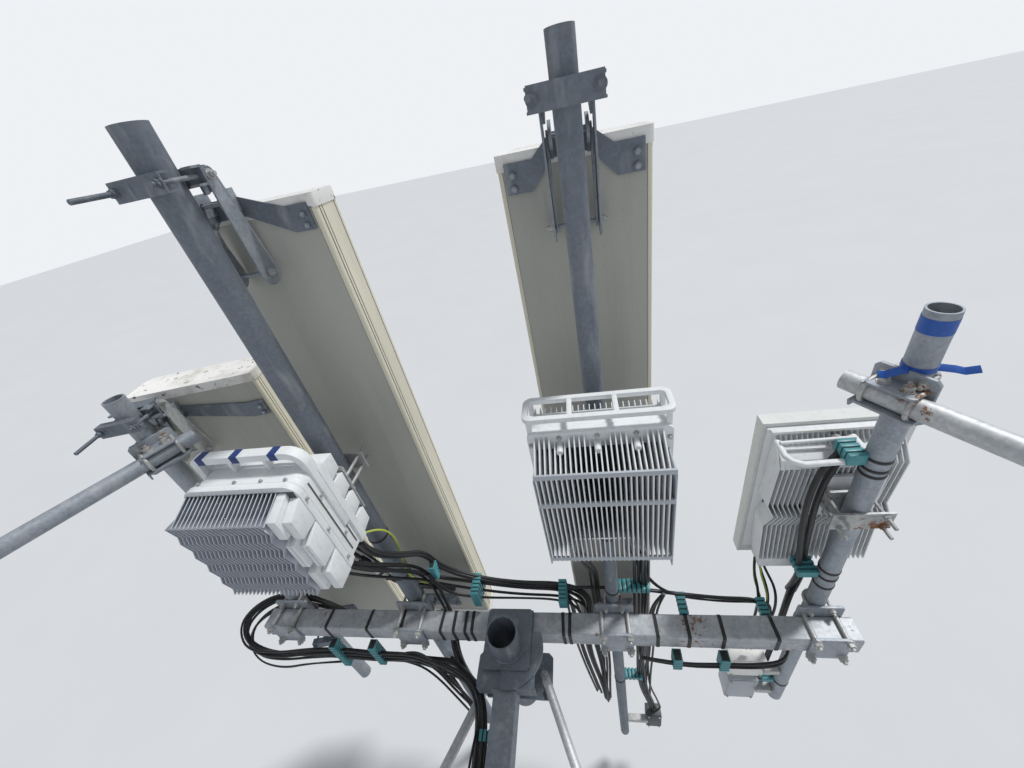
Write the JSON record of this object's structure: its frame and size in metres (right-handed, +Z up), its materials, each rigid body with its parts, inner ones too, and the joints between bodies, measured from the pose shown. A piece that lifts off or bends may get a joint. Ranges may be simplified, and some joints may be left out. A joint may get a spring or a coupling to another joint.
{
  "type": "cell tower sector antenna mount",
  "caption": "Sector frame of a cell tower: standoff arm, face tube and masts with tilting panel antennas, radios and cables.",
  "frame": {"origin": "centre of the mounting plate's tower side, at the height of the arm's centre line", "axes": "+X along the face tube to the right, +Y away from the tower, +Z up"},
  "size_m": [3.929, 1.6404, 3.995],
  "materials": {
    "galvanised": "hot-dip galvanised steel, weathered, with rust spots",
    "radome_cream": "weathered cream plastic cover",
    "antenna_back": "dull grey alloy tray",
    "radio_alloy": "pale grey powder coated cast alloy",
    "panel_grey": "pale grey plastic cover",
    "cable_black": "black cable jacket",
    "hanger_teal": "teal plastic snap-in hangers",
    "box_grey": "grey plastic box"
  },
  "bodies": {
    "root": {"active_bracket": "galvanised", "active_fins": "radio_alloy", "active_panel": "panel_grey", "arm_saddle": "galvanised", "cables_active": "cable_black", "cables_arm": "cable_black", "cables_far_side": "cable_black", "cables_masts": "cable_black", "cables_near_side": "cable_black", "centre_post": "galvanised", "crossover_far_left": "galvanised", "crossover_left": "galvanised", "crossover_middle": "galvanised", "crossover_right": "galvanised", "face_tube": "galvanised", "far_left_mast_clamps": "galvanised", "hangers": "hanger_teal", "junction_boxes": "box_grey", "left_mast_clamps": "galvanised", "left_radio_body": "radio_alloy", "left_radio_bracket": "galvanised", "left_radio_fins": "radio_alloy", "left_radio_rear_fins": "radio_alloy", "mast_far_left": "galvanised", "mast_left": "galvanised", "mast_middle": "galvanised", "mast_right": "galvanised", "middle_mast_clamps": "galvanised", "middle_radio_body": "radio_alloy", "middle_radio_bracket": "galvanised", "middle_radio_fins": "radio_alloy", "post_collar": "galvanised", "standoff_arm": "galvanised", "strut_left": "galvanised", "strut_lug": "galvanised", "strut_right": "galvanised", "tie_clamp_left": "galvanised", "tie_clamp_right": "galvanised", "tie_pipe_left": "galvanised", "tie_pipe_right": "galvanised", "tower_bracket": "galvanised"},
    "left_antenna": {"left_radome": "radome_cream", "left_back": "antenna_back", "left_end_caps": "radome_cream", "left_tilt_plates": "galvanised"},
    "left_upper_link": {"left_upper_links": "galvanised"},
    "left_lower_link": {"left_lower_links": "galvanised"},
    "middle_antenna": {"middle_radome": "radome_cream", "middle_back": "antenna_back", "middle_end_caps": "radome_cream", "middle_tilt_plates": "galvanised"},
    "middle_upper_link": {"middle_upper_links": "galvanised"},
    "middle_lower_link": {"middle_lower_links": "galvanised"},
    "far_left_antenna": {"far_left_radome": "radome_cream", "far_left_back": "antenna_back", "far_left_end_caps": "radome_cream", "far_left_tilt_plates": "galvanised"},
    "far_left_upper_link": {"far_left_upper_links": "galvanised"},
    "far_left_lower_link": {"far_left_lower_links": "galvanised"}
  },
  "joints": [
    {"name": "left_tilt", "type": "hinge", "parent": "root", "child": "left_antenna", "pos_m": [-0.53, 1.29235, -0.27], "axis": [-1, 0, 0], "range_deg": [0, 4]},
    {"name": "left_upper_fold", "type": "hinge", "parent": "root", "child": "left_upper_link", "pos_m": [-0.53, 1.31735, 2.105], "axis": [-1, 0, 0], "range_deg": [-12.53, 0]},
    {"name": "left_lower_fold", "type": "hinge", "parent": "left_upper_link", "child": "left_lower_link", "pos_m": [-0.53, 1.34759, 1.82], "axis": [-1, 0, 0], "range_deg": [0, 40.38]},
    {"name": "middle_tilt", "type": "hinge", "parent": "root", "child": "middle_antenna", "pos_m": [0.498, 1.27805, -0.28], "axis": [-1, 0, 0], "range_deg": [0, 4]},
    {"name": "middle_upper_fold", "type": "hinge", "parent": "root", "child": "middle_upper_link", "pos_m": [0.498, 1.30305, 2.095], "axis": [-1, 0, 0], "range_deg": [-12.53, 0]},
    {"name": "middle_lower_fold", "type": "hinge", "parent": "middle_upper_link", "child": "middle_lower_link", "pos_m": [0.498, 1.33329, 1.81], "axis": [-1, 0, 0], "range_deg": [0, 40.38]},
    {"name": "far_left_tilt", "type": "hinge", "parent": "root", "child": "far_left_antenna", "pos_m": [-1.27707, 1.28327, -0.425], "axis": [-0.9826, -0.1857, 0], "range_deg": [0, 4]},
    {"name": "far_left_upper_fold", "type": "hinge", "parent": "root", "child": "far_left_upper_link", "pos_m": [-1.28171, 1.30784, 1.4], "axis": [-0.9826, -0.1857, 0], "range_deg": [-8.07, 0]},
    {"name": "far_left_lower_fold", "type": "hinge", "parent": "far_left_upper_link", "child": "far_left_lower_link", "pos_m": [-1.28733, 1.33755, 1.115], "axis": [-0.9826, -0.1857, 0], "range_deg": [0, 31.02]}
  ],
  "couplings": [
    {"joint": "left_upper_fold", "follows": "left_tilt", "ratio": -3.107},
    {"joint": "left_lower_fold", "follows": "left_tilt", "ratio": 10.071},
    {"joint": "middle_upper_fold", "follows": "middle_tilt", "ratio": -3.107},
    {"joint": "middle_lower_fold", "follows": "middle_tilt", "ratio": 10.071},
    {"joint": "far_left_upper_fold", "follows": "far_left_tilt", "ratio": -1.9937},
    {"joint": "far_left_lower_fold", "follows": "far_left_tilt", "ratio": 7.7295}
  ]
}
